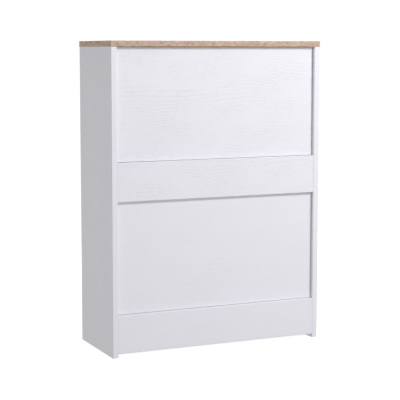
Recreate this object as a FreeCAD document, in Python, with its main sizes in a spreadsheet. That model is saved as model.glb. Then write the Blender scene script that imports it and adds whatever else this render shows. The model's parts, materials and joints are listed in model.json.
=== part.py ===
import FreeCAD, Part
import os
import Sketcher

# Two-flap shoe cabinet: a white carcass under an oak top, with two tip-out shoe bins.
# Frame: millimetres, +Z up, front towards -Y, right-hand side towards +X.
# Origin: middle of the footprint, on the floor.

os.makedirs("parts", exist_ok=True)

Vector = FreeCAD.Vector
Rotation = FreeCAD.Rotation

doc = FreeCAD.newDocument("ShoeCabinet")


# --- Driving sizes -------------------------------------------------------------------------

SIZES = {
    # Outside
    "overall_width": 600,
    "overall_depth": 240,
    "overall_height": 810,
    "board": 15,
    "edge_radius": 1,
    "top_overhang": 1,
    # Fixed rails and the boards behind them
    "rail_height": 100,
    "rail_setback": 0.5,
    "plinth_gap": 10,
    "hanging_rail_height": 70,
    "wall_hole_diameter": 6,
    "wall_hole_spacing": 400,
    # Back panels
    "back_board": 3,
    "back_inset": 8,
    "back_groove": 6,
    "top_groove": 5,
    "groove_play": 0.2,
    "panel_play": 0.5,
    "joiner_rise": 12.5,
    "joiner_wall": 1,
    "joiner_lap": 8,
    # Flaps and their pivots
    "flap_setback": 10,
    "flap_side_gap": 1,
    "flap_top_gap": 0.8,
    "flap_edge_radius": 0.4,
    "swing_clearance": 0.25,
    "pivot_up": 45,
    "pin_diameter": 8,
    "pin_in_flap": 24,
    "pin_in_bush": 8,
    "running_gap": 0.08,
    "press_gap": 0.05,
    "bush_wall": 1.92,
    "bush_depth": 10,
    "bush_flange": 1.2,
    "bush_proud": 0.5,
    "bush_flange_diameter": 14,
    # Bins
    "bracket": 12,
    "bracket_side_gap": 4,
    "bin_back_gap": 6.5,
    "bin_floor_gap": 17,
    "bin_board": 4,
    "bin_rim": 4,
    "slot_depth": 4,
    "slot_play": 0.2,
    "divider_step": 20,
    "divider_inset": 55,
    "flange_width": 20,
    "flange_wall": 3.5,
    "flange_inset": 25,
    "flange_screw_inset": 28,
    # Opening stops
    "open_angle": 45,
    "peg_angle": 60,
    "peg_diameter": 8,
    "peg_in_board": 10,
    "peg_end_gap": 0.5,
    "track_inset": 55,
    "track_depth": 6,
    "track_gap": 0.3,
    # Push latches
    "latch_width": 14,
    "latch_height": 18,
    "latch_length": 70,
    "latch_axis_drop": 10.5,
    "latch_standoff": 5,
    "latch_wall": 4,
    "latch_cavity": 40,
    "latch_gap": 0.2,
    "ear_width": 10,
    "ear_wall": 3,
    "ear_start": 24,
    "ear_length": 16,
    "plunger_diameter": 7.5,
    "collar_diameter": 10,
    "collar_length": 3,
    "collar_gap": 0.3,
    "stem_diameter": 5,
    "stem_length": 14,
    "spring_wire": 0.8,
    "spring_diameter": 7.6,
    "spring_pitch": 3.6,
    "strike_width": 30,
    "strike_height": 10,
    "strike_wall": 1.5,
    "strike_screw_spacing": 20,
    # Cam locks, cam bolts and dowels
    "cam_diameter": 15,
    "cam_bore_depth": 12.5,
    "cam_thickness": 12,
    "cam_gap": 0.1,
    "cam_setback": 24,
    "cam_spread": 120,
    "cam_slot_length": 8,
    "cam_slot_width": 1.6,
    "cam_slot_depth": 2,
    "bolt_diameter": 6.4,
    "bolt_bore": 7,
    "thread_diameter": 5,
    "thread_length": 10.5,
    "drill_point": 0.5,
    "dowel_diameter": 8,
    "dowel_in_board": 20,
    "dowel_in_mate": 10,
    "dowel_offset": 30,
    "rail_dowel_offset": 32,
    "hanging_dowel_offset": 22,
    # Wood screws
    "screw_diameter": 3.4,
    "screw_length": 13,
    "screw_head_diameter": 7,
    "screw_head_height": 2,
    "screw_slot": 0.9,
    "screw_slot_reach": 2.24,
    "screw_slot_depth": 1.3,
    "back_screw_spacing": 200,
    # How far a cutting tool runs past the face it enters
    "overcut": 1,
}

sizes = doc.addObject("Spreadsheet::Sheet", "Sizes")
for row, (alias, value) in enumerate(SIZES.items(), start=1):
    sizes.set(f"A{row}", alias)
    sizes.set(f"B{row}", str(value))
    sizes.setAlias(f"B{row}", alias)
doc.recompute()


def size(alias, share=1):
    """Expression for one cell of the sheet, or for a share of it."""
    return f"(Sizes.{alias} * {share})"


# --- Levels and planes shared by several pieces, as expressions -----------------------------

half_body = "(Sizes.overall_width / 2 - Sizes.top_overhang)"
half_inner = f"({half_body} - Sizes.board)"
front = "(Sizes.top_overhang - Sizes.overall_depth / 2)"
rear = "(Sizes.overall_depth / 2)"
carcass_top = "(Sizes.overall_height - Sizes.board)"

rail_front = f"({front} + Sizes.rail_setback)"
rail_back = f"({rail_front} + Sizes.board)"
bottom_level = "(Sizes.plinth_gap)"
mid_level = f"(({carcass_top} + Sizes.plinth_gap) / 2)"
back_face = f"({rear} - Sizes.back_inset)"
back_front = f"({back_face} - Sizes.back_board)"
hanging_front = f"({back_front} - Sizes.board)"
joiner_level = f"({mid_level} + Sizes.board + Sizes.joiner_rise)"

flap_half = f"({half_inner} - Sizes.flap_side_gap)"
flap_front = f"({front} + Sizes.flap_setback)"
flap_back = f"({flap_front} + Sizes.board)"
pivot_y = f"({flap_front} + Sizes.board / 2)"
corner_dip = "(sqrt(pow(Sizes.pivot_up; 2) + pow(Sizes.board / 2; 2)) - Sizes.pivot_up)"
flap_rise = f"({corner_dip} + Sizes.swing_clearance)"

bracket_outer = f"({half_inner} - Sizes.bracket_side_gap)"
bracket_inner = f"({bracket_outer} - Sizes.bracket)"
bin_drop = (
    f"(Sizes.rail_height - Sizes.board + {flap_rise} + Sizes.pivot_up - Sizes.bin_floor_gap)"
)
pivot_to_ceiling = (
    f"({mid_level} - {bottom_level} - Sizes.rail_height - {flap_rise} - Sizes.pivot_up)"
)
bin_radius = (
    f"min({back_front} - {pivot_y} - Sizes.bin_back_gap;"
    f" {pivot_to_ceiling} - Sizes.latch_height - Sizes.bin_back_gap)"
)
bin_rear = f"(sqrt(pow({bin_radius}; 2) - pow({bin_drop}; 2)) - Sizes.bin_rim)"
track_radius = f"({bin_radius} - Sizes.track_inset)"


# --- Makers ---------------------------------------------------------------------------------

def place(item, x, y, z):
    """Bind an object's position to expressions."""
    item.setExpression("Placement.Base.x", x)
    item.setExpression("Placement.Base.y", y)
    item.setExpression("Placement.Base.z", z)


def turn(x_to, z_to):
    """Rotation that carries local X and Z onto two world directions."""
    return Rotation(x_to, z_to.cross(x_to), z_to, "XZY")


def block(name, x, y, z):
    """Box between three pairs of planes."""
    box = doc.addObject("Part::Box", name)
    box.setExpression("Length", f"{x[1]} - {x[0]}")
    box.setExpression("Width", f"{y[1]} - {y[0]}")
    box.setExpression("Height", f"{z[1]} - {z[0]}")
    place(box, x[0], y[0], z[0])
    return box


def rod(name, radius, x, y, z):
    """Cylinder along the one direction that is given as a pair of planes."""
    turns = (Rotation(Vector(0, 1, 0), 90), Rotation(Vector(1, 0, 0), -90), Rotation())
    spans = (x, y, z)
    along = [isinstance(span, tuple) for span in spans].index(True)
    cylinder = doc.addObject("Part::Cylinder", name)
    cylinder.setExpression("Radius", radius)
    cylinder.setExpression("Height", f"{spans[along][1]} - {spans[along][0]}")
    cylinder.Placement = FreeCAD.Placement(Vector(), turns[along])
    place(cylinder, *[span[0] if isinstance(span, tuple) else span for span in spans])
    return cylinder


def merge(name, pieces):
    """One solid, or one tool, from several that may touch or overlap."""
    if len(pieces) == 1:
        return pieces[0]
    fused = doc.addObject("Part::MultiFuse", name)
    fused.Shapes = pieces
    return fused


def cut(name, base, tool):
    result = doc.addObject("Part::Cut", name)
    result.Base = base
    result.Tool = tool
    return result


def rectangle(body, name, width, depth):
    """Sketch of a rectangle in the body's XY plane, with one corner at its origin."""
    sketch = body.newObject("Sketcher::SketchObject", name)
    plane = [item for item in body.Origin.OriginFeatures if item.Role == "XY_Plane"][0]
    sketch.AttachmentSupport = (plane, "")
    sketch.MapMode = "FlatFace"
    corners = [Vector(0, 0, 0), Vector(10, 0, 0), Vector(10, 10, 0), Vector(0, 10, 0)]
    for side in range(4):
        sketch.addGeometry(Part.LineSegment(corners[side], corners[(side + 1) % 4]))
    for side in range(4):
        sketch.addConstraint(Sketcher.Constraint("Coincident", side, 2, (side + 1) % 4, 1))
    for side, kind in enumerate(("Horizontal", "Vertical", "Horizontal", "Vertical")):
        sketch.addConstraint(Sketcher.Constraint(kind, side))
    sketch.addConstraint(Sketcher.Constraint("Coincident", 0, 1, -1, 1))
    across = sketch.addConstraint(Sketcher.Constraint("DistanceX", 0, 1, 0, 2, 10))
    along = sketch.addConstraint(Sketcher.Constraint("DistanceY", 1, 1, 1, 2, 10))
    sketch.setExpression(f"Constraints[{across}]", width)
    sketch.setExpression(f"Constraints[{along}]", depth)
    return sketch


def edges_in_planes(shape, planes):
    """Names of the edges that lie in any of some planes, each an axis number and a value."""
    names = []
    for number, edge in enumerate(shape.Edges, start=1):
        for axis, value in planes:
            if all(abs(vertex.Point[axis] - value) < 1e-6 for vertex in edge.Vertexes):
                names.append(f"Edge{number}")
                break
    return names


def board(name, x, y, z, rounded=(), radius="edge_radius"):
    """Board between three pairs of planes, eased along the faces named in rounded."""
    body = doc.addObject("PartDesign::Body", name)
    pad = body.newObject("PartDesign::Pad", f"{name}_pad")
    pad.Profile = rectangle(body, f"{name}_outline", f"{x[1]} - {x[0]}", f"{y[1]} - {y[0]}")
    pad.setExpression("Length", f"{z[1]} - {z[0]}")
    place(body, x[0], y[0], z[0])
    if rounded:
        doc.recompute()
        bounds = pad.Shape.BoundBox
        planes = {"front": (1, 0.0), "left": (0, 0.0), "right": (0, bounds.XMax)}
        fillet = body.newObject("PartDesign::Fillet", f"{name}_easing")
        fillet.Base = (pad, edges_in_planes(pad.Shape, [planes[face] for face in rounded]))
        fillet.setExpression("Radius", size(radius))
    return body


def beside(side, near, far):
    """Span between two distances from the middle plane, on the left or the right."""
    return (near, far) if side == "right" else (f"-({far})", f"-({near})")


nodes = {}
tools = {}
groups = {}


def tool_for(node, *items):
    """Collect what is taken out of a node."""
    tools.setdefault(node, []).extend(items)


def copy_at(master, name, rotation, x, y, z):
    """Linked copy of a master, turned and bound to a place."""
    link = doc.addObject("App::Link", name)
    link.LinkedObject = master
    link.LinkTransform = True
    link.Placement = FreeCAD.Placement(Vector(), rotation)
    place(link, x, y, z)
    return link


# --- Fastener masters, each in its own frame --------------------------------------------------

# Cam joint frame: origin on the cam's axis at the mouth of its bore, +Z out of the mouth,
# +X along the bolt towards the mating board, whose face is cam_setback away.
bolt_level = size("board", -0.5)
cam_floor = size("cam_bore_depth", -1)
mate_face = size("cam_setback")


def make_cam_masters():
    disc = rod(
        "cam_disc", "Sizes.cam_diameter / 2 - Sizes.cam_gap", "0", "0",
        (cam_floor, f"({cam_floor} + Sizes.cam_thickness)"),
    )
    entry = rod(
        "cam_entry", "Sizes.bolt_bore / 2", (size("bolt_bore", -0.5), size("cam_diameter")),
        "0", bolt_level,
    )
    slot = block(
        "cam_driver_slot",
        (size("cam_slot_length", -0.5), size("cam_slot_length", 0.5)),
        (size("cam_slot_width", -0.5), size("cam_slot_width", 0.5)),
        (f"({cam_floor} + Sizes.cam_thickness - Sizes.cam_slot_depth)", "0"),
    )
    cam = cut("cam_master", disc, merge("cam_hollows", [entry, slot]))

    shaft = rod("bolt_shaft", size("bolt_diameter", 0.5), ("0", mate_face), "0", bolt_level)
    thread_end = f"({mate_face} + Sizes.thread_length)"
    thread = rod(
        "bolt_thread", "Sizes.thread_diameter / 2 - Sizes.press_gap",
        (mate_face, thread_end), "0", bolt_level,
    )
    bolt = merge("bolt_master", [shaft, thread])

    cam_bore = rod("cam_bore", size("cam_diameter", 0.5), "0", "0", (cam_floor, "Sizes.overcut"))
    edge_bore = rod(
        "cam_edge_bore", size("bolt_bore", 0.5), ("0", f"({mate_face} + Sizes.overcut)"), "0", bolt_level,
    )
    board_drill = merge("cam_board_drill", [cam_bore, edge_bore])
    mate_drill = rod(
        "cam_mate_drill", size("thread_diameter", 0.5),
        (f"({mate_face} - Sizes.overcut)", f"({thread_end} + Sizes.drill_point)"), "0", bolt_level,
    )
    return cam, bolt, board_drill, mate_drill


def make_dowel_masters():
    near = f"({mate_face} - Sizes.dowel_in_board)"
    far = f"({mate_face} + Sizes.dowel_in_mate)"
    dowel = rod(
        "dowel_master", "Sizes.dowel_diameter / 2 - Sizes.press_gap", (near, far), "0", bolt_level,
    )
    drill = rod(
        "dowel_drill", size("dowel_diameter", 0.5),
        (f"({near} - Sizes.drill_point)", far), "0", bolt_level,
    )
    return dowel, drill


def make_screw_masters():
    """Pan-head wood screw: origin under the head, shank along -Z."""
    shank = rod(
        "screw_shank", size("screw_diameter", 0.5), "0", "0", (size("screw_length", -1), "0"),
    )
    head = rod(
        "screw_head", size("screw_head_diameter", 0.5), "0", "0", ("0", size("screw_head_height")),
    )
    reach = size("screw_slot_reach")
    half_slot = size("screw_slot", 0.5)
    recess = (
        "(Sizes.screw_head_height - Sizes.screw_slot_depth)",
        "(Sizes.screw_head_height + Sizes.overcut)",
    )
    cross = [
        block("screw_slot_x", (f"-{reach}", reach), (f"-{half_slot}", half_slot), recess),
        block("screw_slot_y", (f"-{half_slot}", half_slot), (f"-{reach}", reach), recess),
    ]
    screw = cut("screw_master", merge("screw_blank", [shank, head]), merge("screw_cross", cross))
    drill = rod(
        "screw_drill", "Sizes.screw_diameter / 2 + Sizes.press_gap", "0", "0",
        ("(-Sizes.screw_length - Sizes.drill_point)", "Sizes.overcut"),
    )
    return screw, drill


cam_master, bolt_master, board_drill_master, mate_drill_master = make_cam_masters()
dowel_master, dowel_drill_master = make_dowel_masters()
screw_master, screw_drill_master = make_screw_masters()


def add_copy(group, master, rotation, at):
    """Copy of a fastener, counted into its group node."""
    members = groups.setdefault(group, [])
    members.append(copy_at(master, f"{group}_{len(members) + 1}", rotation, *at))


def cam_joint(board_node, mate_node, bolt_to, mouth_to, at):
    """Cam lock in one board that pulls it onto another."""
    rotation = turn(bolt_to, mouth_to)
    add_copy("cam_locks", cam_master, rotation, at)
    add_copy("cam_bolts", bolt_master, rotation, at)
    count = len(groups["cam_locks"])
    tool_for(board_node, copy_at(board_drill_master, f"cam_drill_{count}", rotation, *at))
    tool_for(mate_node, copy_at(mate_drill_master, f"bolt_drill_{count}", rotation, *at))


def dowel_joint(board_node, mate_node, bolt_to, mouth_to, at):
    """Dowel beside a cam lock, in the same frame."""
    rotation = turn(bolt_to, mouth_to)
    add_copy("carcass_dowels", dowel_master, rotation, at)
    count = len(groups["carcass_dowels"])
    for node in (board_node, mate_node):
        tool_for(node, copy_at(dowel_drill_master, f"{node}_dowel_drill_{count}", rotation, *at))


def screw_joint(group, through_node, into_node, head_to, at):
    """Screw through one piece into another, its head against the first."""
    side = Vector(0, 0, 1) if abs(head_to.z) < 0.5 else Vector(1, 0, 0)
    rotation = turn(side, head_to)
    add_copy(group, screw_master, rotation, at)
    count = len(groups[group])
    for node in (through_node, into_node):
        tool_for(node, copy_at(screw_drill_master, f"{group}_{node}_drill_{count}", rotation, *at))


RIGHT = Vector(1, 0, 0)
BACK = Vector(0, 1, 0)
UP = Vector(0, 0, 1)
OUTWARD = {"left": -RIGHT, "right": RIGHT}
SIGN = {"left": "-1", "right": "1"}


# --- Carcass ----------------------------------------------------------------------------------

across_inner = (f"-{half_inner}", half_inner)


def build_top():
    nodes["top_panel"] = board(
        "top_panel_blank",
        (size("overall_width", -0.5), size("overall_width", 0.5)),
        (size("overall_depth", -0.5), size("overall_depth", 0.5)),
        (carcass_top, size("overall_height")),
        rounded=("front", "left", "right"),
    )


def build_sides():
    for side in ("left", "right"):
        nodes[f"{side}_side_panel"] = board(
            f"{side}_side_blank", beside(side, half_inner, half_body), (front, rear),
            ("0", carcass_top), rounded=("front",),
        )


def build_rails_and_shelves():
    across = across_inner
    for name, level in (("bottom", bottom_level), ("mid", mid_level)):
        nodes[f"{name}_rail"] = board(
            f"{name}_rail_blank", across, (rail_front, rail_back),
            (level, f"({level} + Sizes.rail_height)"), rounded=("front",),
        )
    for name, level in (("bottom_panel", bottom_level), ("mid_shelf", mid_level)):
        nodes[name] = board(
            f"{name}_blank", across, (rail_back, back_front), (level, f"({level} + Sizes.board)"),
        )
    nodes["hanging_rail"] = board(
        "hanging_rail_blank", across, (hanging_front, back_front),
        (f"({carcass_top} - Sizes.hanging_rail_height)", carcass_top),
    )


def build_back():
    """Two thin panels in grooves, joined at mid height by an H profile."""
    reach = f"({half_inner} + Sizes.back_groove)"
    half_panel = f"({reach} - Sizes.panel_play)"
    web = size("joiner_wall", 0.5)
    top_edge = f"({carcass_top} + Sizes.top_groove - Sizes.panel_play)"
    spans = {
        "lower_back_panel": (bottom_level, f"({joiner_level} - {web})"),
        "upper_back_panel": (f"({joiner_level} + {web})", top_edge),
    }
    for name, rise in spans.items():
        nodes[name] = board(
            f"{name}_blank", (f"-{half_panel}", half_panel), (back_front, back_face), rise,
        )
    grooved = (back_front, f"({back_face} + Sizes.groove_play)")
    for side in ("left", "right"):
        tool_for(f"{side}_side_panel", block(
            f"{side}_back_groove", beside(side, f"({half_inner} - Sizes.overcut)", reach), grooved,
            ("-Sizes.overcut", f"({carcass_top} + Sizes.overcut)"),
        ))
    tool_for("top_panel", block(
        "top_back_groove", (f"-{reach}", reach), grooved,
        (f"({carcass_top} - Sizes.overcut)", f"({carcass_top} + Sizes.top_groove)"),
    ))

    lap = f"({web} + Sizes.joiner_lap)"
    half_joiner = f"({half_inner} - Sizes.panel_play)"
    profile = block(
        "joiner_profile", (f"-{half_joiner}", half_joiner),
        (f"({back_front} - Sizes.joiner_wall)", f"({back_face} + Sizes.joiner_wall)"),
        (f"({joiner_level} - {lap})", f"({joiner_level} + {lap})"),
    )
    mouths = [
        block("joiner_lower_mouth", across_inner, (back_front, back_face),
              (f"({joiner_level} - {lap} - Sizes.overcut)", f"({joiner_level} - {web})")),
        block("joiner_upper_mouth", across_inner, (back_front, back_face),
              (f"({joiner_level} + {web})", f"({joiner_level} + {lap} + Sizes.overcut)")),
    ]
    nodes["back_panel_joiner"] = cut("joiner_blank", profile, merge("joiner_mouths", mouths))

    for name, level in (("bottom_panel", bottom_level), ("mid_shelf", mid_level)):
        for place_number in (-1, 0, 1):
            at = (size("back_screw_spacing", place_number), back_face, f"({level} + Sizes.board / 2)")
            screw_joint("back_panel_screws", "lower_back_panel", name, BACK, at)

    for name, share in (("left", -0.5), ("right", 0.5)):
        hole = rod(
            f"{name}_wall_hole", size("wall_hole_diameter", 0.5), size("wall_hole_spacing", share),
            (f"({hanging_front} - Sizes.overcut)", f"({back_face} + Sizes.overcut)"),
            f"({carcass_top} - Sizes.hanging_rail_height / 2)",
        )
        tool_for("hanging_rail", hole)
        tool_for("upper_back_panel", hole)


def build_carcass_joints():
    """Cam locks and dowels that hold the boards between the sides, and the top on them."""
    for side in ("left", "right"):
        out = OUTWARD[side]
        mate = f"{side}_side_panel"
        cam_x = f"({SIGN[side]} * ({half_inner} - Sizes.cam_setback))"

        for name, level in (("bottom_panel", bottom_level), ("mid_shelf", mid_level)):
            for share in (-0.5, 0.5):
                cam_y = size("cam_spread", share)
                cam_joint(name, mate, out, -UP, (cam_x, cam_y, level))
                dowel_y = f"({cam_y} + {size('dowel_offset', -2 * share)})"
                dowel_joint(name, mate, out, -UP, (cam_x, dowel_y, level))

        for name, level in (("bottom_rail", bottom_level), ("mid_rail", mid_level)):
            middle = f"({level} + Sizes.rail_height / 2)"
            cam_joint(name, mate, out, BACK, (cam_x, rail_back, middle))
            for share in (-1, 1):
                dowel_z = f"({middle} + {size('rail_dowel_offset', share)})"
                dowel_joint(name, mate, out, BACK, (cam_x, rail_back, dowel_z))

        middle = f"({carcass_top} - Sizes.hanging_rail_height / 2)"
        cam_joint("hanging_rail", mate, out, -BACK, (cam_x, hanging_front, middle))
        for share in (-1, 1):
            dowel_z = f"({middle} + {size('hanging_dowel_offset', share)})"
            dowel_joint("hanging_rail", mate, out, -BACK, (cam_x, hanging_front, dowel_z))

        face_x = f"({SIGN[side]} * {half_inner})"
        cam_z = f"({carcass_top} - Sizes.cam_setback)"
        for share in (-0.5, 0.5):
            cam_y = size("cam_spread", share)
            cam_joint(mate, "top_panel", UP, -out, (face_x, cam_y, cam_z))
            dowel_y = f"({cam_y} + {size('dowel_offset', -2 * share)})"
            dowel_joint(mate, "top_panel", UP, -out, (face_x, dowel_y, cam_z))


# --- Flaps, with their pivots, bins and stops ---------------------------------------------------

def make_track_master():
    """Curved stop groove about the pivot, in the XY plane, its depth along +Z."""
    half_width = "(Sizes.peg_diameter / 2 + Sizes.track_gap)"
    depth = ("0", "(Sizes.track_depth + Sizes.overcut)")
    outer = rod("track_outer", f"({track_radius} + {half_width})", "0", "0", depth)
    outer.setExpression("Angle", size("open_angle"))
    outer.setExpression("Placement.Rotation.Angle", "Sizes.peg_angle - Sizes.open_angle")
    inner = rod("track_inner", f"({track_radius} - {half_width})", "0", "0", depth)
    ring = cut("track_ring", outer, inner)
    end_angles = {
        "closed": "Sizes.peg_angle",
        "open": "(Sizes.peg_angle - Sizes.open_angle)",
    }
    ends = []
    for name, angle in end_angles.items():
        ends.append(rod(
            f"track_{name}_end", half_width,
            f"({track_radius} * cos({angle} * 1deg))", f"({track_radius} * sin({angle} * 1deg))",
            depth,
        ))
    return merge("track_master", [ring] + ends)


def build_flap_panel(level, pivot_z, ceiling):
    """Front board of a flap, with a blind bore for a pivot pin in each end."""
    node = f"{level}_flap_panel"
    nodes[node] = board(
        f"{node}_blank", (f"-{flap_half}", flap_half), (flap_front, flap_back),
        (f"({pivot_z} - Sizes.pivot_up)", f"({ceiling} - Sizes.flap_top_gap)"),
        rounded=("front",), radius="flap_edge_radius",
    )
    for side in ("left", "right"):
        pin_root = f"({flap_half} - Sizes.pin_in_flap)"
        pin_end = f"({half_inner} + Sizes.pin_in_bush)"
        pin = rod(
            f"{level}_{side}_pin", size("pin_diameter", 0.5), beside(side, pin_root, pin_end),
            pivot_y, pivot_z,
        )
        groups.setdefault(f"{level}_pivot_pins", []).append(pin)
        tool_for(node, rod(
            f"{level}_{side}_pin_bore", "Sizes.pin_diameter / 2 + Sizes.press_gap",
            beside(side, pin_root, f"({flap_half} + Sizes.overcut)"), pivot_y, pivot_z,
        ))


def build_bushes_and_pegs(level, pivot_z):
    """Flanged bushes that carry the pins, and the pegs that end the swing."""
    for side in ("left", "right"):
        panel = f"{side}_side_panel"
        outer = "(Sizes.pin_diameter / 2 + Sizes.running_gap + Sizes.bush_wall)"
        bush_end = f"({half_inner} + Sizes.bush_depth)"
        flange_face = f"({half_inner} - Sizes.bush_proud)"
        flange_root = f"({flange_face} + Sizes.bush_flange)"
        sleeve = rod(f"{level}_{side}_sleeve", outer, beside(side, flange_face, bush_end),
                     pivot_y, pivot_z)
        flange = rod(f"{level}_{side}_bush_flange", size("bush_flange_diameter", 0.5),
                     beside(side, flange_face, flange_root), pivot_y, pivot_z)
        through = beside(side, f"({flange_face} - Sizes.overcut)", f"({bush_end} + Sizes.overcut)")
        bore = rod(f"{level}_{side}_bush_bore", "Sizes.pin_diameter / 2 + Sizes.running_gap",
                   through, pivot_y, pivot_z)
        blank = merge(f"{level}_{side}_bush_blank", [sleeve, flange])
        groups.setdefault("pivot_bushes", []).append(cut(f"{level}_{side}_bush", blank, bore))
        seats = {
            "bush": (f"({outer} + Sizes.press_gap)", bush_end),
            "flange": ("(Sizes.bush_flange_diameter / 2 + Sizes.press_gap)", flange_root),
        }
        for name, (radius, depth) in seats.items():
            tool_for(panel, rod(
                f"{level}_{side}_{name}_seat", radius,
                beside(side, f"({half_inner} - Sizes.overcut)", depth), pivot_y, pivot_z,
            ))

        peg_y = f"({pivot_y} + {track_radius} * cos(Sizes.peg_angle * 1deg))"
        peg_z = f"({pivot_z} + {track_radius} * sin(Sizes.peg_angle * 1deg))"
        peg_tip = f"({bracket_outer} - Sizes.track_depth + Sizes.peg_end_gap)"
        peg_root = f"({half_inner} + Sizes.peg_in_board)"
        groups.setdefault("stop_pegs", []).append(rod(
            f"{level}_{side}_peg", size("peg_diameter", 0.5), beside(side, peg_tip, peg_root),
            peg_y, peg_z,
        ))
        tool_for(panel, rod(
            f"{level}_{side}_peg_seat", "Sizes.peg_diameter / 2 + Sizes.press_gap",
            beside(side, f"({half_inner} - Sizes.overcut)", peg_root), peg_y, peg_z,
        ))


def build_bin(level, pivot_z, track_master):
    """Two moulded brackets behind the flap, and the thin boards that slot into them."""
    underside = f"({pivot_z} - {bin_drop})"
    floor_bottom = f"({underside} + Sizes.bin_rim)"
    floor_top = f"({floor_bottom} + Sizes.bin_board)"
    bin_back = f"({pivot_y} + {bin_rear})"
    back_inside = f"({bin_back} - Sizes.bin_board)"
    front_inside = f"({flap_back} + Sizes.bin_board)"
    sweep = f"({bin_radius} + Sizes.overcut)"
    above = f"({pivot_z} + {sweep})"
    divider_middle = f"(({front_inside} + {back_inside}) / 2)"
    flange_top = f"({pivot_z} + {bin_radius} - Sizes.flange_inset)"
    flap = f"{level}_flap_panel"

    for side in ("left", "right"):
        node = f"{level}_bin_{side}_bracket"
        thickness = beside(side, bracket_inner, bracket_outer)
        disc = rod(f"{node}_disc", bin_radius, thickness, pivot_y, pivot_z)
        window = block(f"{node}_window", thickness, (flap_back, f"({pivot_y} + {sweep})"),
                       (underside, above))
        plate = doc.addObject("Part::Common", f"{node}_plate")
        plate.Base = disc
        plate.Tool = window
        flange_span = beside(side, f"({bracket_inner} - Sizes.flange_width)", bracket_inner)
        flange = block(f"{node}_flange", flange_span,
                       (flap_back, f"({flap_back} + Sizes.flange_wall)"), (pivot_z, flange_top))
        nodes[node] = merge(f"{node}_blank", [plate, flange])

        slot_mouth = f"({bracket_inner} - Sizes.overcut)"
        slotted = beside(side, slot_mouth, f"({bracket_inner} + Sizes.slot_depth)")
        tool_for(node, block(f"{node}_floor_slot", slotted, (f"({flap_back} - Sizes.overcut)", bin_back),
                             (floor_bottom, f"({floor_top} + Sizes.slot_play)")))
        tool_for(node, block(f"{node}_front_slot", slotted,
                             (f"({flap_back} - Sizes.overcut)", f"({front_inside} + Sizes.slot_play)"),
                             (floor_bottom, pivot_z)))
        tool_for(node, block(f"{node}_back_slot", slotted,
                             (f"({back_inside} - Sizes.slot_play)", bin_back),
                             (floor_bottom, above)))
        for step in (-1, 0, 1):
            near = f"({divider_middle} + {size('divider_step', step)} - Sizes.bin_board / 2)"
            far = f"({near} + Sizes.bin_board + Sizes.slot_play)"
            tool_for(node, block(f"{node}_divider_slot_{step + 2}", slotted, (near, far),
                                 (floor_bottom, above)))

        track_start = {
            "right": f"({bracket_outer} - Sizes.track_depth)",
            "left": f"(-{bracket_outer} - Sizes.overcut)",
        }
        upright = turn(BACK, RIGHT)
        tool_for(node, copy_at(track_master, f"{node}_track", upright,
                               track_start[side], pivot_y, pivot_z))

        middle_x = f"({SIGN[side]} * ({bracket_inner} - Sizes.flange_width / 2))"
        flange_back = f"({flap_back} + Sizes.flange_wall)"
        low = f"({pivot_z} + Sizes.flange_screw_inset)"
        high = f"({flange_top} - Sizes.flange_screw_inset)"
        for screw_z in (low, f"(({low} + {high}) / 2)", high):
            screw_joint(f"{level}_bracket_screws", node, flap, BACK,
                        (middle_x, flange_back, screw_z))

    half_board = f"({bracket_inner} + Sizes.slot_depth - Sizes.slot_play)"
    across = (f"-{half_board}", half_board)
    divider_near = f"({divider_middle} - Sizes.bin_board / 2)"
    panels = {
        "floor": ((flap_back, bin_back), (floor_bottom, floor_top)),
        "front_board": ((flap_back, front_inside), (floor_top, pivot_z)),
        "back_board": ((back_inside, bin_back), (floor_top, f"({pivot_z} + {bin_drop})")),
        "divider": ((divider_near, f"({divider_near} + Sizes.bin_board)"),
                    (floor_top, f"({pivot_z} + {bin_radius} - Sizes.divider_inset)")),
    }
    for name, (depth, rise) in panels.items():
        node = f"{level}_bin_{name}"
        nodes[node] = board(f"{node}_blank", across, depth, rise)


# --- Push latches -------------------------------------------------------------------------------

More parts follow.
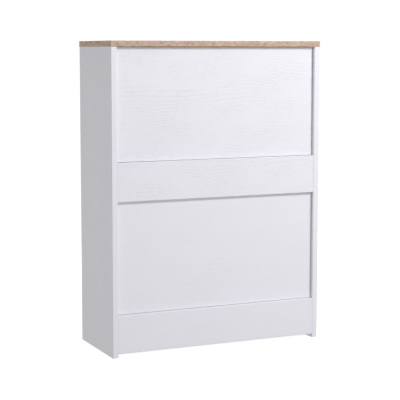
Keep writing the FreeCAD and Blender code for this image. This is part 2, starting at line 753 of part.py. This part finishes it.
def build_latch(level, ceiling):
    """Housing under the board above the flap, its sprung plunger, and the strike plate."""
    ceiling_node = {"upper": "top_panel", "lower": "mid_shelf"}[level]
    flap = f"{level}_flap_panel"
    axis_z = f"({ceiling} - Sizes.latch_axis_drop)"
    strike_face = f"({flap_back} + Sizes.strike_wall)"
    tip = f"({strike_face} + Sizes.latch_gap)"
    housing_front = f"({flap_back} + Sizes.latch_standoff)"
    cavity_front = f"({housing_front} + Sizes.latch_wall)"
    cavity_back = f"({cavity_front} + Sizes.latch_cavity)"
    collar_front = f"({cavity_front} + Sizes.latch_gap)"
    collar_back = f"({collar_front} + Sizes.collar_length)"

    half_width = size("latch_width", 0.5)
    case = block(
        f"{level}_latch_case", (f"-{half_width}", half_width),
        (housing_front, f"({housing_front} + Sizes.latch_length)"),
        (f"({ceiling} - Sizes.latch_height)", ceiling),
    )
    ear_reach = f"({half_width} + Sizes.ear_width)"
    ear_front = f"({housing_front} + Sizes.ear_start)"
    ears = block(
        f"{level}_latch_ears", (f"-{ear_reach}", ear_reach),
        (ear_front, f"({ear_front} + Sizes.ear_length)"),
        (f"({ceiling} - Sizes.ear_wall)", ceiling),
    )
    node = f"{level}_latch_housing"
    nodes[node] = merge(f"{node}_blank", [case, ears])
    mouth = rod(f"{level}_latch_mouth", "Sizes.plunger_diameter / 2 + Sizes.running_gap", "0",
                (f"({housing_front} - Sizes.overcut)", cavity_back), axis_z)
    cavity = rod(f"{level}_latch_cavity", "Sizes.collar_diameter / 2 + Sizes.collar_gap", "0",
                 (cavity_front, cavity_back), axis_z)
    tool_for(node, mouth, cavity)
    for side in ("left", "right"):
        at = (
            f"({SIGN[side]} * ({half_width} + Sizes.ear_width / 2))",
            f"({ear_front} + Sizes.ear_length / 2)",
            f"({ceiling} - Sizes.ear_wall)",
        )
        screw_joint("latch_screws", node, ceiling_node, -UP, at)

    nose = rod(f"{level}_plunger_nose", size("plunger_diameter", 0.5), "0",
               (tip, collar_front), axis_z)
    collar = rod(f"{level}_plunger_collar", size("collar_diameter", 0.5), "0",
                 (collar_front, collar_back), axis_z)
    stem = rod(f"{level}_plunger_stem", size("stem_diameter", 0.5), "0",
               (collar_back, f"({collar_back} + Sizes.stem_length)"), axis_z)
    nodes[f"{level}_latch_plunger"] = merge(f"{level}_plunger_blank", [nose, collar, stem])

    coil = doc.addObject("Part::Helix", f"{level}_spring_coil")
    coil.setExpression("Radius", "Sizes.spring_diameter / 2 - Sizes.spring_wire / 2")
    coil.setExpression("Pitch", size("spring_pitch"))
    coil.setExpression("Height", f"{cavity_back} - {collar_back} - 2 * Sizes.spring_wire")
    wire = doc.addObject("Part::Circle", f"{level}_spring_wire")
    wire.setExpression("Radius", size("spring_wire", 0.5))
    wire.Placement = FreeCAD.Placement(Vector(), Rotation(RIGHT, 90))
    wire.setExpression("Placement.Base.x", "Sizes.spring_diameter / 2 - Sizes.spring_wire / 2")
    spring = doc.addObject("Part::Sweep", f"{level}_spring_sweep")
    spring.Sections = [wire]
    spring.Spine = (coil, ["Edge1"])
    spring.Solid = True
    spring.Frenet = True
    spring.Placement = FreeCAD.Placement(Vector(), Rotation(RIGHT, -90))
    place(spring, "0", f"({collar_back} + Sizes.spring_wire)", axis_z)
    nodes[f"{level}_latch_spring"] = spring

    node = f"{level}_strike_plate"
    half_strike = size("strike_width", 0.5)
    nodes[node] = block(
        f"{node}_blank", (f"-{half_strike}", half_strike), (flap_back, strike_face),
        (f"({axis_z} - Sizes.strike_height / 2)", f"({axis_z} + Sizes.strike_height / 2)"),
    )
    for share in (-0.5, 0.5):
        at = (size("strike_screw_spacing", share), strike_face, axis_z)
        screw_joint(f"{level}_strike_screws", node, flap, BACK, at)


# --- Assembly -----------------------------------------------------------------------------------

def rail_top(level):
    return f"({level} + Sizes.rail_height)"


build_top()
build_sides()
build_rails_and_shelves()
build_back()
build_carcass_joints()

track = make_track_master()
for level, rail_level, ceiling in (
    ("lower", bottom_level, mid_level),
    ("upper", mid_level, carcass_top),
):
    pivot_z = f"({rail_top(rail_level)} + {flap_rise} + Sizes.pivot_up)"
    build_flap_panel(level, pivot_z, ceiling)
    build_bushes_and_pegs(level, pivot_z)
    build_bin(level, pivot_z, track)
    build_latch(level, ceiling)

final = []
for node, blank in nodes.items():
    piece = blank
    if node in tools:
        piece = cut(f"{node}_machined", blank, merge(f"{node}_tools", tools[node]))
    piece.Label = node
    final.append(piece)
for node, members in groups.items():
    group = doc.addObject("Part::Compound", f"{node}_set")
    group.Links = members
    group.Label = node
    final.append(group)

doc.recompute()

faults = [item.Label for item in doc.Objects if {"Invalid", "Error"} & set(item.State)]
for piece in final:
    if piece.Shape.isNull() or not piece.Shape.isValid():
        faults.append(piece.Label)
if faults:
    raise RuntimeError("faulty objects: " + ", ".join(faults))

for piece in final:
    piece.Shape.exportStep(f"parts/{piece.Label}.step")
print(len(final), "sub-parts written")
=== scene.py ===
import json
import math

import bpy
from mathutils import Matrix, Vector


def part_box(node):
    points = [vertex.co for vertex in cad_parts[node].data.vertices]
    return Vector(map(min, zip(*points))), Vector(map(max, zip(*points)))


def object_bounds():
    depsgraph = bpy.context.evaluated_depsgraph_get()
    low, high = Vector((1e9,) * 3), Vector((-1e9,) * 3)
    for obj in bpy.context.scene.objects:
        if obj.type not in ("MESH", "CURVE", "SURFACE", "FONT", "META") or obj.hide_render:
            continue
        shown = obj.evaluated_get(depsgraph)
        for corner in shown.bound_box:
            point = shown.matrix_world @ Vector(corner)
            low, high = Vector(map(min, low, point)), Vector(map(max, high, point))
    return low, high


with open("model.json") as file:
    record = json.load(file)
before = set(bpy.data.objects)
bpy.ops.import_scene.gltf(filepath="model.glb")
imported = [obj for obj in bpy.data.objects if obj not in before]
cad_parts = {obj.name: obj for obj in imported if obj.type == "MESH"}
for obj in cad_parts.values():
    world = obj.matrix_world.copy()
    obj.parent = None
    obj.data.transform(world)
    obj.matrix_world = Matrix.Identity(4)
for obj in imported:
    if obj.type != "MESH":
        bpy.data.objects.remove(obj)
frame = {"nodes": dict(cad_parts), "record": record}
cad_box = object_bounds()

nodes = frame["nodes"]
slot_of = {part["node"]: part["material_slot"] for part in frame["record"]["subparts"]}


# --- Node helpers ---------------------------------------------------------------------------

def add(tree, kind, sockets=(), **settings):
    """New shader node, with settings and a list of (socket, value or output) pairs."""
    node = tree.nodes.new("ShaderNode" + kind)
    for key, value in settings.items():
        setattr(node, key, value)
    for socket, value in sockets:
        if isinstance(value, bpy.types.NodeSocket):
            tree.links.new(value, node.inputs[socket])
        else:
            node.inputs[socket].default_value = value
    return node


def math_node(tree, operation, first, second=0.0):
    """Result of one arithmetic step."""
    node = add(tree, "Math", [(0, first), (1, second)], operation=operation)
    return node.outputs[0]


# A Mix node has a set of sockets for each kind of value, and is addressed by their places.
MIX_FACTOR = 0
MIX_NUMBERS = (2, 3)
MIX_NUMBER_OUT = 0
MIX_COLOURS = (6, 7)
MIX_COLOUR_OUT = 2


def blend_colours(tree, factor, first, second):
    """Mix of two colours, each a tuple or an output."""
    sockets = [(MIX_FACTOR, factor), (MIX_COLOURS[0], first), (MIX_COLOURS[1], second)]
    return add(tree, "Mix", sockets, data_type="RGBA").outputs[MIX_COLOUR_OUT]


def blend_numbers(tree, factor, first, second):
    """Mix of two numbers, each plain or an output."""
    sockets = [(MIX_FACTOR, factor), (MIX_NUMBERS[0], first), (MIX_NUMBERS[1], second)]
    return add(tree, "Mix", sockets).outputs[MIX_NUMBER_OUT]


def remap(tree, value, low, high, to_low=0.0, to_high=1.0):
    """Clamped straight-line map from one range to another."""
    sockets = [(0, value), (1, low), (2, high), (3, to_low), (4, to_high)]
    return add(tree, "MapRange", sockets).outputs[0]


def rgba(red, green, blue):
    """Opaque colour, in linear light."""
    return (red, green, blue, 1.0)


def material(name, roughness, specular=0.5, metallic=0.0):
    """Material with a Principled shader; gives the material, its tree and the shader."""
    made = bpy.data.materials.new(name)
    made.use_nodes = True
    shader = made.node_tree.nodes["Principled BSDF"]
    shader.inputs["Roughness"].default_value = roughness
    shader.inputs["Specular IOR Level"].default_value = specular
    shader.inputs["Metallic"].default_value = metallic
    return made, made.node_tree, shader


def colour_and_bump(tree, shader, colour, height, depth):
    """Wire a colour and a relief, whose height of 1 stands depth metres proud, into the shader."""
    tree.links.new(colour, shader.inputs["Base Color"])
    bump = add(tree, "Bump", [("Height", height), ("Distance", depth)])
    tree.links.new(bump.outputs[0], shader.inputs["Normal"])


def object_point(tree):
    """Place on the piece, in its own frame and in metres."""
    return add(tree, "TexCoord").outputs["Object"]


AXIS_X, AXIS_Y, AXIS_Z = 0, 1, 2
FACING_SHARE = 0.7


def face_mask(tree, axis, sign=0):
    """1 on faces whose normal runs along an axis, of one sign if given, and 0 elsewhere."""
    normal = add(tree, "TexCoord").outputs["Normal"]
    part = add(tree, "SeparateXYZ", [(0, normal)]).outputs[axis]
    if sign == 0:
        size = math_node(tree, "ABSOLUTE", part)
    else:
        size = math_node(tree, "MULTIPLY", part, sign)
    return math_node(tree, "GREATER_THAN", size, FACING_SHARE)


# --- Wood grain -----------------------------------------------------------------------------

TURN_TO_X = {
    "x": (0.0, 0.0, 0.0),
    "x on a level face": (math.pi / 2, 0.0, 0.0),
    "y": (0.0, 0.0, -math.pi / 2),
    "z": (0.0, math.pi / 2, 0.0),
}


def grain_point(tree, along, centre):
    """Object coordinates from a chosen centre, turned so that the grain runs along X."""
    shifted = add(tree, "VectorMath", [(0, object_point(tree)), (1, centre)], operation="SUBTRACT")
    turned = add(
        tree, "Mapping", [("Vector", shifted.outputs[0]), ("Rotation", TURN_TO_X[along])],
        vector_type="POINT",
    )
    return turned.outputs[0]


def stretched(tree, point, along, across=1.0):
    """Point scaled along X and across it: a small scale along X draws the pattern out."""
    scale = (along, across, across)
    return add(tree, "Mapping", [("Vector", point), ("Scale", scale)]).outputs[0]


def noise(tree, point, scale, detail=3.0, roughness=0.55):
    """Smooth random pattern of about scale cells in a metre, with finer octaves on it."""
    sockets = [("Vector", point), ("Scale", scale), ("Detail", detail), ("Roughness", roughness)]
    return add(tree, "TexNoise", sockets).outputs["Fac"]


RIPPLE_STRETCH = 0.25
RIPPLE_SCALE = 60.0
RIPPLE_RINGS = 0.9
PORE_PITCH = 0.0022
PORE_EDGES = (0.5, 0.58)


def cathedral(tree, point, spacing, sway, along=3.0, across=8.0):
    """Flat-sawn figure: lines along X that bend into nested arches, 0 to 1 across each ring.

    Rings lie spacing apart. A broad noise, scaled along and across the grain, bends them by up to
    sway rings, and a small ripple roughens them.
    """
    swell_point = stretched(tree, point, along, across)
    swell = noise(tree, swell_point, scale=1.0, detail=1.0, roughness=0.5)
    ripple_point = stretched(tree, point, RIPPLE_STRETCH)
    ripple = noise(tree, ripple_point, RIPPLE_SCALE, detail=2.0, roughness=0.5)
    level = add(tree, "SeparateXYZ", [(0, point)]).outputs[AXIS_Z]
    rings = math_node(tree, "DIVIDE", level, spacing)
    rings = math_node(tree, "ADD", rings, math_node(tree, "MULTIPLY", swell, sway))
    rings = math_node(tree, "ADD", rings, math_node(tree, "MULTIPLY", ripple, RIPPLE_RINGS))
    return math_node(tree, "FRACT", rings)


def pores(tree, point, length):
    """Short fine streaks along the grain: 1 in a pore, 0 between."""
    fine = stretched(tree, point, PORE_PITCH / length)
    streaks = noise(tree, fine, 1.0 / PORE_PITCH, detail=2.0, roughness=0.6)
    return remap(tree, streaks, *PORE_EDGES)


# --- Board materials ------------------------------------------------------------------------

WHITE_FOIL = rgba(0.872, 0.862, 0.909)
WHITE_GRAIN = rgba(0.775, 0.767, 0.820)
WHITE_RING_SPACING = 0.0075
WHITE_RING_SWAY = 11.0
WHITE_PORE_LENGTH = 0.022
WHITE_RING_SHADE = 0.55
WHITE_PORE_SHADE = 0.45
WHITE_EMBOSS_DEPTH = 0.00012


def white_laminate(name, along, centre, strength):
    """White foil with a printed and embossed wood grain, stronger in some patches than others."""
    made, tree, shader = material(name, roughness=0.42, specular=0.35)
    point = grain_point(tree, along, centre)
    rings = cathedral(tree, point, WHITE_RING_SPACING, WHITE_RING_SWAY)
    late = remap(tree, rings, low=0.35, high=1.0)
    fine = pores(tree, point, WHITE_PORE_LENGTH)
    blotch = noise(tree, stretched(tree, point, along=0.45), scale=16.0, detail=2.0)
    patch = remap(tree, blotch, low=0.35, high=0.65, to_low=0.15)

    ring_shade = math_node(tree, "MULTIPLY", late, WHITE_RING_SHADE)
    pore_shade = math_node(tree, "MULTIPLY", fine, WHITE_PORE_SHADE)
    shade = math_node(tree, "ADD", ring_shade, pore_shade)
    factor = math_node(tree, "MULTIPLY", math_node(tree, "MULTIPLY", shade, patch), strength)
    colour = blend_colours(tree, factor, WHITE_FOIL, WHITE_GRAIN)
    height = math_node(tree, "MULTIPLY", factor, -1.0)
    colour_and_bump(tree, shader, colour, height, WHITE_EMBOSS_DEPTH)
    return made


OAK_PALE = rgba(0.71, 0.545, 0.42)
OAK_MID = rgba(0.52, 0.355, 0.250)
OAK_RING = rgba(0.42, 0.272, 0.185)
OAK_PORE = rgba(0.27, 0.165, 0.110)
OAK_RING_SWAY = 7.0
OAK_STREAK_SCALE = 170.0
OAK_RING_SHADE = 0.30
OAK_PORE_SHADE = 0.50
OAK_RING_HOLLOW = 0.25
OAK_EMBOSS_DEPTH = 0.00010
# ring spacing, pore length and stretch of the streaks
OAK_EDGE_STRIP = (0.006, 0.011, 0.22)
OAK_LEVEL_FACE = (0.012, 0.060, 0.05)


def oak_tones(tree, point, spacing, pore_length, streak_stretch):
    """Colour and height of oak whose grain runs along the point's X."""
    rings = cathedral(tree, point, spacing, OAK_RING_SWAY, along=5.0, across=14.0)
    late = remap(tree, rings, low=0.25, high=1.0)
    fine = pores(tree, point, pore_length)
    streaks = noise(tree, stretched(tree, point, streak_stretch), OAK_STREAK_SCALE, roughness=0.7)
    ground = blend_colours(tree, remap(tree, streaks, low=0.38, high=0.62), OAK_PALE, OAK_MID)
    ring_shade = math_node(tree, "MULTIPLY", late, OAK_RING_SHADE)
    ringed = blend_colours(tree, ring_shade, ground, OAK_RING)
    pore_shade = math_node(tree, "MULTIPLY", fine, OAK_PORE_SHADE)
    colour = blend_colours(tree, pore_shade, ringed, OAK_PORE)
    hollow = math_node(tree, "ADD", fine, math_node(tree, "MULTIPLY", late, OAK_RING_HOLLOW))
    height = math_node(tree, "SUBTRACT", 1.0, hollow)
    return colour, height


def oak_laminate(name, centre):
    """Oak decor on the top: long streaks on the faces, a shorter figure on the edge strips."""
    made, tree, shader = material(name, roughness=0.46, specular=0.3)
    colour, height = oak_tones(tree, grain_point(tree, "x", centre), *OAK_EDGE_STRIP)
    other_faces = (
        (AXIS_X, "y", OAK_EDGE_STRIP),
        (AXIS_Z, "x on a level face", OAK_LEVEL_FACE),
    )
    for axis, along, figure in other_faces:
        mask = face_mask(tree, axis)
        face_colour, face_height = oak_tones(tree, grain_point(tree, along, centre), *figure)
        colour = blend_colours(tree, mask, colour, face_colour)
        height = blend_numbers(tree, mask, height, face_height)
    colour_and_bump(tree, shader, colour, height, OAK_EMBOSS_DEPTH)
    return made


SIDE_GRAIN = 0.35
CHIP_DARK = rgba(0.52, 0.39, 0.25)
CHIP_PALE = rgba(0.72, 0.60, 0.43)
FLAKES_IN_A_METRE = 420.0


def chip_tones(tree):
    """Raw particle board: pressed flakes of several browns."""
    sockets = [("Vector", object_point(tree)), ("Scale", FLAKES_IN_A_METRE)]
    flakes = add(tree, "TexVoronoi", sockets)
    tone = add(tree, "SeparateColor", [(0, flakes.outputs["Color"])]).outputs[0]
    return blend_colours(tree, tone, CHIP_DARK, CHIP_PALE)


def side_board(name, centre):
    """Outer side: upright grain on the faces, raw board on the cut bottom edge."""
    made = white_laminate(name, "z", centre, SIDE_GRAIN)
    tree = made.node_tree
    shader = tree.nodes["Principled BSDF"]
    faced = shader.inputs["Base Color"].links[0].from_socket
    raw = face_mask(tree, AXIS_Z, -1)
    colour = blend_colours(tree, raw, faced, chip_tones(tree))
    tree.links.new(colour, shader.inputs["Base Color"])
    return made


MELAMINE = rgba(0.86, 0.86, 0.87)
MELAMINE_DULL = rgba(0.82, 0.82, 0.83)
PEEL_DEPTH = 0.00004


def inner_board(name):
    """Plain white melamine with a light orange-peel surface."""
    made, tree, shader = material(name, roughness=0.38, specular=0.4)
    point = object_point(tree)
    peel = noise(tree, point, scale=900.0, detail=2.0)
    tint = noise(tree, point, scale=6.0)
    colour = blend_colours(tree, tint, MELAMINE, MELAMINE_DULL)
    colour_and_bump(tree, shader, colour, peel, PEEL_DEPTH)
    return made


HARDBOARD_WHITE = rgba(0.85, 0.85, 0.85)
HARDBOARD_SPECK = rgba(0.79, 0.79, 0.79)
FIBRE_PALE = rgba(0.40, 0.26, 0.15)
FIBRE_DARK = rgba(0.20, 0.115, 0.06)
FIBRE_STAIN = rgba(0.45, 0.31, 0.19)
STAIN_SHARE = 0.4
SPECKLE_DEPTH = 0.00004
FIBRE_DEPTH = 0.00015


def hardboard(name, raw_back):
    """Thin board with a white face; the rear face may be left as pressed brown fibre."""
    made, tree, shader = material(name, roughness=0.55, specular=0.3)
    point = object_point(tree)
    speckle = noise(tree, point, scale=500.0, roughness=0.7)
    white = blend_colours(tree, speckle, HARDBOARD_WHITE, HARDBOARD_SPECK)
    if not raw_back:
        colour_and_bump(tree, shader, white, speckle, SPECKLE_DEPTH)
        return made
    fibre = noise(tree, stretched(tree, point, along=0.4), scale=260.0, detail=6.0, roughness=0.75)
    blotch = noise(tree, point, scale=14.0)
    brown = blend_colours(tree, fibre, FIBRE_PALE, FIBRE_DARK)
    stain = math_node(tree, "MULTIPLY", blotch, STAIN_SHARE)
    brown = blend_colours(tree, stain, brown, FIBRE_STAIN)
    colour = blend_colours(tree, face_mask(tree, AXIS_Y, 1), white, brown)
    colour_and_bump(tree, shader, colour, fibre, FIBRE_DEPTH)
    return made


BEECH_PALE = rgba(0.72, 0.55, 0.36)
BEECH_STREAK = rgba(0.55, 0.38, 0.23)
BEECH_DEPTH = 0.00008


def beech(name):
    """Plain beech dowel with fine streaks."""
    made, tree, shader = material(name, roughness=0.6, specular=0.3)
    streaks = noise(tree, stretched(tree, object_point(tree), along=0.1), scale=900.0)
    colour = blend_colours(tree, streaks, BEECH_PALE, BEECH_STREAK)
    colour_and_bump(tree, shader, colour, streaks, BEECH_DEPTH)
    return made


# --- Hardware materials ---------------------------------------------------------------------

SPARK_SCALE = 1400.0
SPARK_DEPTH = 0.00005
MARK_DEPTH = 0.00003


def shaded(colour, share):
    """Colour with each part multiplied by a share."""
    return rgba(*[share * part for part in colour])


def moulded(name, colour, roughness):
    """Moulded plastic: a nearly even colour with a fine spark-eroded texture."""
    made, tree, shader = material(name, roughness=roughness, specular=0.45)
    point = object_point(tree)
    spark = noise(tree, point, SPARK_SCALE, roughness=0.6)
    patch = noise(tree, point, scale=25.0, detail=2.0)
    tone = blend_colours(tree, patch, rgba(*colour), shaded(colour, share=0.93))
    colour_and_bump(tree, shader, tone, spark, SPARK_DEPTH)
    return made


def metal(name, colour, roughness, stretch, scale):
    """Metal with a roughness and colour that vary along fine marks."""
    made, tree, shader = material(name, roughness=roughness, metallic=1.0)
    mark_point = stretched(tree, object_point(tree), stretch)
    marks = noise(tree, mark_point, scale, detail=4.0, roughness=0.6)
    tone = blend_colours(tree, marks, rgba(*colour), shaded(colour, share=0.8))
    colour_and_bump(tree, shader, tone, marks, MARK_DEPTH)
    polished, worn = roughness - 0.08, roughness + 0.1
    rough = remap(tree, marks, low=0.3, high=0.7, to_low=polished, to_high=worn)
    tree.links.new(rough, shader.inputs["Roughness"])
    return made


# --- Materials on the pieces ----------------------------------------------------------------

GRAINED_FRONTS = {
    # node: grain strength, and where its pattern is centred as shares of the board's box
    "upper_flap_panel": (1.0, (0.36, 0.62)),
    "mid_rail": (0.9, (0.62, 1.10)),
    "lower_flap_panel": (0.40, (0.58, 0.40)),
    "bottom_rail": (0.35, (0.30, -0.30)),
}


def pattern_centre(node, across, up):
    """Point in a board's front plane, given as shares of its width and height."""
    low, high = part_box(node)
    return (low.x + across * (high.x - low.x), low.y, low.z + up * (high.z - low.z))


def materials_by_slot():
    """One material for each of the record's slots that has a single look."""
    return {
        "white_inner_board": inner_board("white_inner_board"),
        "white_hardboard": hardboard("white_hardboard", raw_back=False),
        "grey_plastic": moulded("grey_plastic", (0.50, 0.51, 0.52), roughness=0.48),
        "latch_plastic": moulded("latch_plastic", (0.74, 0.74, 0.73), roughness=0.40),
        "latch_plunger_plastic": moulded("latch_plunger_plastic", (0.09, 0.09, 0.10), roughness=0.38),
        "white_plastic": moulded("white_plastic", (0.84, 0.84, 0.83), roughness=0.42),
        "nylon": moulded("nylon", (0.80, 0.79, 0.74), roughness=0.45),
        "steel": metal("steel", (0.66, 0.66, 0.68), roughness=0.30, stretch=0.15, scale=1600.0),
        "zinc": metal("zinc", (0.52, 0.53, 0.55), roughness=0.42, stretch=1.0, scale=700.0),
        "beech": beech("beech"),
    }


def dress():
    """Give every CAD node its material."""
    shared = materials_by_slot()
    own = {}
    for node, (strength, (across, up)) in GRAINED_FRONTS.items():
        own[node] = white_laminate(f"{node}_foil", "x", pattern_centre(node, across, up), strength)
    for node in ("left_side_panel", "right_side_panel"):
        own[node] = side_board(f"{node}_foil", pattern_centre(node, across=0.5, up=0.4))
    own["top_panel"] = oak_laminate("oak_foil", pattern_centre("top_panel", across=0.42, up=-1.0))
    for node in ("upper_back_panel", "lower_back_panel"):
        own[node] = hardboard(f"{node}_board", raw_back=True)
    for node, piece in nodes.items():
        chosen = own.get(node) or shared[slot_of[node]]
        piece.data.materials.clear()
        piece.data.materials.append(chosen)


# --- Stage ----------------------------------------------------------------------------------

FLOOR_REACH = 40.0
FLOOR_GLOW = 0.62
FLOOR_PALE = rgba(0.93, 0.93, 0.93)
FLOOR_DULL = rgba(0.90, 0.90, 0.90)
FILL_STRENGTH = 0.47
SEEN_STRENGTH = 1.05
LAMP_SIZE = 0.7
BLANK = rgba(1.0, 1.0, 1.0)


def build_floor():
    """Wide pale floor, bright enough to run into the background."""
    mesh = bpy.data.meshes.new("floor")
    signs = ((-1, -1), (1, -1), (1, 1), (-1, 1))
    corners = [(FLOOR_REACH * across, FLOOR_REACH * along, 0.0) for across, along in signs]
    mesh.from_pydata(corners, [], [(0, 1, 2, 3)])
    floor = bpy.data.objects.new("floor", mesh)
    bpy.context.scene.collection.objects.link(floor)
    made, tree, shader = material("floor", roughness=0.9, specular=0.0)
    shader.inputs["Emission Strength"].default_value = FLOOR_GLOW
    shader.inputs["Emission Color"].default_value = BLANK
    tint = noise(tree, object_point(tree), scale=2.0)
    colour = blend_colours(tree, tint, FLOOR_PALE, FLOOR_DULL)
    tree.links.new(colour, shader.inputs["Base Color"])
    mesh.materials.append(made)
    floor.visible_diffuse = False


def area_light(name, position, target, power, colour=(1.0, 1.0, 1.0)):
    """Round soft lamp aimed at a target."""
    light = bpy.data.lights.new(name, "AREA")
    light.shape = "DISK"
    light.size = LAMP_SIZE
    light.energy = power
    light.color = colour
    lamp = bpy.data.objects.new(name, light)
    lamp.location = position
    lamp.rotation_mode = "QUATERNION"
    lamp.rotation_quaternion = (Vector(target) - Vector(position)).to_track_quat("-Z", "Y")
    bpy.context.scene.collection.objects.link(lamp)


def build_light():
    """Even white room, a soft key from the upper right of the front and a weak lamp at the left."""
    world = bpy.data.worlds.new("studio")
    bpy.context.scene.world = world
    world.use_nodes = True
    tree = world.node_tree
    fill = tree.nodes["Background"]
    fill.inputs["Color"].default_value = BLANK
    fill.inputs["Strength"].default_value = FILL_STRENGTH
    seen = add(tree, "Background", [("Color", BLANK), ("Strength", SEEN_STRENGTH)])
    direct = add(tree, "LightPath").outputs["Is Camera Ray"]
    both = add(tree, "MixShader", [(0, direct), (1, fill.outputs[0]), (2, seen.outputs[0])])
    tree.links.new(both.outputs[0], tree.nodes["World Output"].inputs["Surface"])
    area_light("key", position=(1.07, -1.86, 1.88), target=(0.0, 0.0, 0.45), power=38.6,
               colour=(0.98, 0.98, 1.0))
    area_light("side", position=(-1.5, -0.2, 1.7), target=(-0.3, 0.0, 0.4), power=1.6)


CAMERA_PLACE = (-1.3961, -3.0478)
CAMERA_DROP = 0.0249
CAMERA_YAW = math.radians(24.601)
CAMERA_PITCH = math.radians(5.976)
CAMERA_LENS = 112.01
CAMERA_SHIFT = -0.048


def build_camera():
    """Camera at standing distance, left of the front and just below the height of the top."""
    top = cad_box[1].z
    camera = bpy.data.cameras.new("camera")
    camera.sensor_width = 36.0
    camera.lens = CAMERA_LENS
    camera.shift_y = CAMERA_SHIFT
    camera.clip_end = 200.0
    holder = bpy.data.objects.new("camera", camera)
    holder.location = (*CAMERA_PLACE, top - CAMERA_DROP)
    holder.rotation_euler = (math.pi / 2 - CAMERA_PITCH, 0.0, -CAMERA_YAW)
    bpy.context.scene.collection.objects.link(holder)
    bpy.context.scene.camera = holder
    bpy.context.scene.view_settings.view_transform = "Standard"


dress()
build_floor()
build_light()
build_camera()
